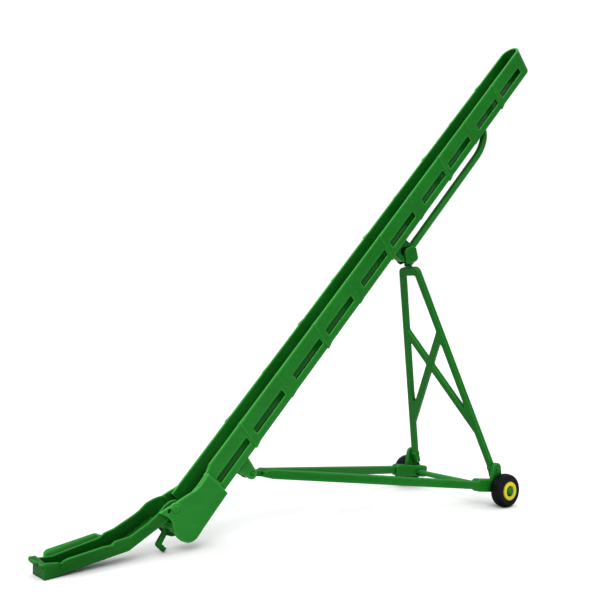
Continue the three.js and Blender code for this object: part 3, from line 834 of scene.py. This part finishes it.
for side, sign in SIDES:
    leg_pin = pin(0.6, *sorted((sign * 15.35, sign * 18.72)), pin_x, pin_z, edge=0.15)
    piece(f"{side}_leg_pin_moulding", leg_pin, in_base, "base_frame", [f"{side}_leg_pin"], deep_green_painted_shade)
    cap = lathe(cap_profile, sign, 48)
    cap.data.transform(Matrix.Translation((axle_x, 0, axle_z)))
    piece(f"{side}_axle_cap_moulding", cap, in_base, "base_frame", [f"{side}_axle_cap"], deep_green_painted_shade)


# ---------------------------------------------------------------- leg frame

LEG_FOOT_Y = 16.2
LEG_TOP_Y = 3.05
CROSSBAR_Z = 62.7
LEG_WIDTH = 2.0
LEG_HALF_THICKNESS = 0.8
BRACE_HALF = 1.05


def leg_y(z):
    return LEG_FOOT_Y + (LEG_TOP_Y - LEG_FOOT_Y) * z / CROSSBAR_Z


def edge_line(start, end, offset):
    """A line beside another one, as a point and a direction. A positive offset lies to its right."""
    way = (Vector(end) - Vector(start)).normalized()
    return Vector(start) + Vector((way.y, -way.x)) * offset, way


def meet(first, second):
    (p, u), (q, v) = first, second
    t = ((q.x - p.x) * v.y - (q.y - p.y) * v.x) / (u.x * v.y - u.y * v.x)
    return p + u * t


def leg_frame_moulding():
    leg_ends = ((leg_y(0), 0), (leg_y(CROSSBAR_Z), CROSSBAR_Z))
    outer = edge_line(*leg_ends, LEG_WIDTH / 2)
    inner = edge_line(*leg_ends, -LEG_WIDTH / 2)
    inset_by = LEG_WIDTH / 2 + 0.2
    high = (leg_y(42) - inset_by, 42)
    low = (-(leg_y(14.4) - inset_by), 14.4)
    above = edge_line(low, high, -BRACE_HALF)
    below = edge_line(low, high, BRACE_HALF)
    middle = (Vector((0, 0)), Vector((0, 1)))

    def flat(z):
        return Vector((0, z)), Vector((1, 0))

    def same(p):
        return p

    def mirror(p):
        return Vector((-p[0], p[1]))

    def mirror_line(line):
        return mirror(line[0]), mirror(line[1])
    bar_low = flat(CROSSBAR_Z - 1.3)
    bar_high = flat(CROSSBAR_Z + 1.3)
    # the corners of one half, which are mirrored for the other
    foot_out, foot_in = meet(outer, flat(0)), meet(inner, flat(0))
    shoulder = meet(outer, bar_high)
    arch = meet(inner, bar_low)
    upper_in = meet(inner, above)
    cross_top = meet(above, middle)
    upper_out = meet(inner, below)
    waist = meet(below, mirror_line(above))
    lower_out = meet(inner, mirror_line(above))
    lower_in = meet(inner, mirror_line(below))
    cross_low = meet(below, middle)
    outline = rounded([
        (*mirror(foot_in), 0.05), (*mirror(lower_in), 1.2), (*cross_low, 0.8), (*lower_in, 1.2),
        (*foot_in, 0.05), (*foot_out, 0.05), (*shoulder, 1.9), (*mirror(shoulder), 1.9),
        (*mirror(foot_out), 0.05),
    ], 0.3)
    holes = [rounded([
        (*arch, 0.7), (*upper_in, 1.0), (*cross_top, 0.8), (*mirror(upper_in), 1.0), (*mirror(arch), 0.7),
    ], 0.3)]
    for flip in (same, mirror):
        holes.append(rounded([
            (*flip(upper_out), 1.0), (*flip(waist), 0.8), (*flip(lower_out), 1.0),
        ], 0.5))
    frame_plate = plate(
        outline, -LEG_HALF_THICKNESS, LEG_HALF_THICKNESS, "yz", bevel=0.32, holes=holes, segments=4)
    parts = []
    for _, sign in SIDES:
        parts.append(pin(1.0, *sorted((sign * 15.12, sign * 17.28)), edge=0.12))
        parts.append(plate(rounded([(-0.84, -3), (0.84, -3), (0.84, 0.6), (-0.84, 0.6)], 0.35),
                           *sorted((sign * 15.18, sign * 17.22)), bevel=0.22))
    reach = leg_reach
    neck_loops = []
    for z, wide in ((CROSSBAR_Z + 0.5, 1.5), (CROSSBAR_Z + 1.3, 0.95), (CROSSBAR_Z + 1.9, 0.75),
                    (reach - 2.6, 0.8)):
        neck_loops.append([Vector((p.x, p.y, z)) for p in rounded(
            [(-0.65, -wide), (0.65, -wide), (0.65, wide), (-0.65, wide)], 0.4, 4)])
    parts.append(loft(neck_loops))
    fork = plate(rounded([
        (-0.9, reach - 3.7, 0.5), (0.9, reach - 3.7, 0.5), (2.5, reach - 1.9, 0.8), (2.6, reach + 1.2, 0.9),
        (1.4, reach + 2.2, 0.8), (-1.4, reach + 2.2, 0.8), (-2.5, reach + 1, 0.9), (-2.4, reach - 1.9, 0.8),
    ], 0.5), -2.35, 2.35, bevel=0.3, segments=4)
    rail_way = plate(rounded([
        (-4, reach - 6.2), (-0.9, reach - 3.4, 0.4), (0.9, reach - 2.05, 0.4), (4, reach + 1.5),
        (4, reach + 5), (-4, reach + 5),
    ], 0.2), -1.65, 1.65, bevel=0.02)
    lobes = [
        plate(rounded([
            (sign * 0.72, reach - 5), (sign * 0.72, reach - 3.75), (sign * 1.2, reach - 3.1, 0.6),
            (sign * 2.6, reach - 2.3, 0.6), (sign * 2.6, reach - 5),
        ], 0.1), -4, 4, "yz", bevel=0.05)
        for _, sign in SIDES
    ]
    body = fuse(frame_plate, *parts, cut(fork, rail_way, *lobes))
    bores = [plate(ring(0.62, (0, 0), 28), *sorted((sign * 14, sign * 19)), bevel=0.02) for _, sign in SIDES]
    return cut(body, *bores)


piece("leg_frame_moulding", leg_frame_moulding(), in_legs, "leg_frame", [
    "leg_crossbar", "rail_fork", "cross_brace", "upper_half_brace", "lower_half_brace",
    "left_leg", "right_leg",
], deep_green_painted_shade)


# ---------------------------------------------------------------- wheels

TYRE_PROFILE = [
    (2.0, 1.2), (2.86, 1.25), (2.86, 1.5), (3.05, 1.72), (3.45, 1.93), (3.9, 1.95), (4.3, 1.83),
    (4.62, 1.57), (4.84, 1.15), (4.96, 0.62), (5.0, 0.0), (4.96, -0.62), (4.84, -1.15), (4.62, -1.57),
    (4.3, -1.83), (3.9, -1.95), (3.3, -1.92), (2.9, -1.66), (2.5, -1.56), (2.0, -1.56),
]
RIM_PROFILE = [
    (0.95, -1.5), (1.95, -1.5), (1.95, 0.9), (2.8, 1.0), (2.84, 1.6), (2.8, 1.85), (2.66, 2.06),
    (2.4, 2.16), (2.05, 2.16), (1.75, 2.05), (1.52, 1.86), (1.42, 1.6), (1.4, 1.2), (0.95, 1.15),
]

for side, sign in SIDES:
    body = f"{side}_wheel"
    hub = joint_at[f"{side}_wheel_spin"]
    tyre = lathe(TYRE_PROFILE, sign, steps=96, closed=True)
    piece(f"{side}_tyre_moulding", tyre, axes_at(hub), body, [f"{side}_tyre"], black, 50)
    rim = lathe(RIM_PROFILE, sign, steps=96, closed=True)
    piece(f"{side}_rim_moulding", rim, axes_at(hub), body, [f"{side}_rim"], yellow, 40)


# ---------------------------------------------------------------- floor, light and camera

FLOOR_RADIUS = 6.0             # metres
FLOOR_COLOUR = (0.98, 0.975, 0.98, 1)
LIGHT_FROM_SIDES = 0.16
LIGHT_FROM_ABOVE = 1.42
SEEN_BRIGHTNESS = 1.05


def floor_disc():
    work = bmesh.new()
    bmesh.ops.create_circle(work, cap_ends=True, radius=FLOOR_RADIUS, segments=96)
    mesh = bpy.data.meshes.new("floor")
    work.to_mesh(mesh)
    work.free()
    floor = bpy.data.objects.new("floor", mesh)
    bpy.context.scene.collection.objects.link(floor)
    material = bpy.data.materials.new("pale_floor")
    material.use_nodes = True
    shader = material.node_tree.nodes["Principled BSDF"]
    shader.inputs["Base Color"].default_value = FLOOR_COLOUR
    shader.inputs["Roughness"].default_value = 0.9
    shader.inputs["Specular IOR Level"].default_value = 0.0
    mesh.materials.append(material)


def studio_world():
    """Plain white to the camera. As light it is strong overhead and dim towards the sides."""
    world = bpy.data.worlds.new("studio")
    bpy.context.scene.world = world
    world.use_nodes = True
    tree = world.node_tree
    tree.nodes.clear()
    n = Nodes(tree)
    height = n.up(n.add("ShaderNodeTexCoord").outputs["Generated"])
    overhead = n.spread(height, 0.05, 0.85, LIGHT_FROM_SIDES, LIGHT_FROM_ABOVE)
    seen = n.add("ShaderNodeLightPath").outputs["Is Camera Ray"]
    strength = n.math("MAXIMUM", overhead, n.times(seen, SEEN_BRIGHTNESS))
    background = n.add("ShaderNodeBackground", {"Color": (1, 1, 1, 1), "Strength": strength})
    output = n.add("ShaderNodeOutputWorld")
    tree.links.new(background.outputs[0], output.inputs["Surface"])


def sun(name, towards, strength, angle):
    light = bpy.data.lights.new(name, "SUN")
    light.energy = strength
    light.angle = radians(angle)
    lamp = bpy.data.objects.new(name, light)
    lamp.rotation_euler = Vector(towards).to_track_quat("-Z", "Y").to_euler()
    bpy.context.scene.collection.objects.link(lamp)


floor_disc()
studio_world()
sun("key", (0.9, 1.0, -0.9), 1.35, 30)

scene = bpy.context.scene
scene.view_settings.view_transform = "Standard"
scene.view_settings.look = "None"

camera_data = bpy.data.cameras.new("camera")
camera_data.lens = 56.62
camera_data.sensor_width = 36.0
camera_data.clip_start = 0.01
camera_data.clip_end = 30.0
camera = bpy.data.objects.new("camera", camera_data)
camera.location = (-0.172155, -0.20474, 0.06548)
yaw, pitch = radians(-38.421), radians(0.624)
forward = Vector((-sin(yaw) * cos(pitch), cos(yaw) * cos(pitch), -sin(pitch)))
camera.rotation_euler = forward.to_track_quat("-Z", "Y").to_euler()
scene.collection.objects.link(camera)
scene.camera = camera
